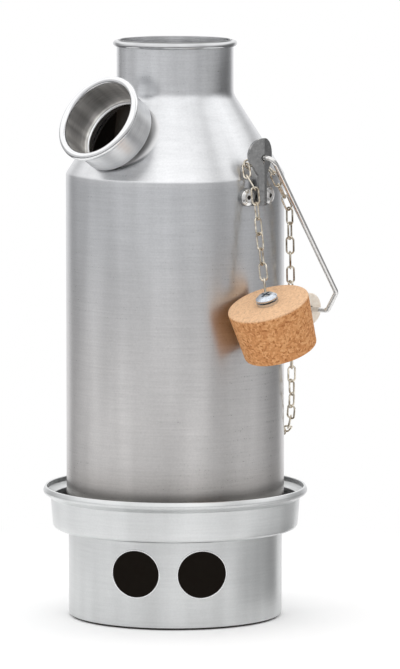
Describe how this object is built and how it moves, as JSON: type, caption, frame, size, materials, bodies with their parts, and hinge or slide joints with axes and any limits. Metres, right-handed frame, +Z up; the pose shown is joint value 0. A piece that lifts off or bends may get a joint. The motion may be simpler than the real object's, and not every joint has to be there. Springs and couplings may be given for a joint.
{
  "type": "storm kettle",
  "caption": "Double-walled aluminium chimney kettle on a pressed fire base, with a spout cup, wire bail with wooden grip, and a cork stopper hung on a chain.",
  "frame": {"origin": "centre of the underside of the fire base", "axes": "+Z up along the chimney, -X towards the spout, -Y towards the bail ear that carries the stopper chain"},
  "size_m": [0.1543, 0.1781, 0.3182],
  "materials": {
    "base_aluminium": "satin, spun",
    "shell_aluminium": "fine spun lines",
    "spout_aluminium": "polished, spun",
    "ear_steel": "dull plated",
    "rivet_metal": "bright",
    "wire_steel": "drawn, bright",
    "grip_wood": "pale, sanded",
    "chain_metal": "plated",
    "cork": "granulated cork",
    "bolt_steel": "bright plated"
  },
  "bodies": {
    "base": {"fire_base": "base_aluminium"},
    "kettle": {"outer_jacket": "shell_aluminium", "flue": "shell_aluminium", "spout": "spout_aluminium", "spout_eyelet": "spout_aluminium", "bail_ear_front": "ear_steel", "bail_ear_rear": "ear_steel", "ear_rivets_front": "rivet_metal", "ear_rivets_rear": "rivet_metal", "chain_lug": "ear_steel", "lug_rivets": "rivet_metal", "ear_chain": "chain_metal", "pour_chain": "chain_metal"},
    "bail": {"bail_wire": "wire_steel"},
    "bail_grip": {"grip": "grip_wood"},
    "stopper_link": {"cork_chain_top": "chain_metal"},
    "stopper_chain": {"cork_chain": "chain_metal"},
    "stopper": {"cork": "cork", "cork_bolt": "bolt_steel", "cork_link": "chain_metal", "cork_washers": "bolt_steel", "cork_nut": "bolt_steel"}
  },
  "joints": [
    {"name": "kettle_lift", "type": "slide", "parent": "base", "child": "kettle", "axis": [0, 0, 1], "range_m": [0, 0.08]},
    {"name": "bail_swing", "type": "hinge", "parent": "kettle", "child": "bail", "pos_m": [0, 0, 0.2566], "axis": [0, -1, 0], "range_deg": [0, 284.8]},
    {"name": "grip_spin", "type": "hinge", "parent": "bail", "child": "bail_grip", "pos_m": [0.06915, 0, 0.16672], "axis": [0, 1, 0], "continuous": true},
    {"name": "stopper_swing_out", "type": "hinge", "parent": "kettle", "child": "stopper_link", "pos_m": [-0.00849, -0.06575, 0.24057], "axis": [-1, 0, 0], "range_deg": [0, 60]},
    {"name": "stopper_swing_side", "type": "hinge", "parent": "stopper_link", "child": "stopper_chain", "pos_m": [-0.00899, -0.06734, 0.23249], "axis": [0, -1, 0], "range_deg": [-12, 12]},
    {"name": "stopper_tip", "type": "hinge", "parent": "stopper_chain", "child": "stopper", "pos_m": [-0.01199, -0.07685, 0.18401], "axis": [0, -1, 0], "range_deg": [-12, 12]}
  ]
}
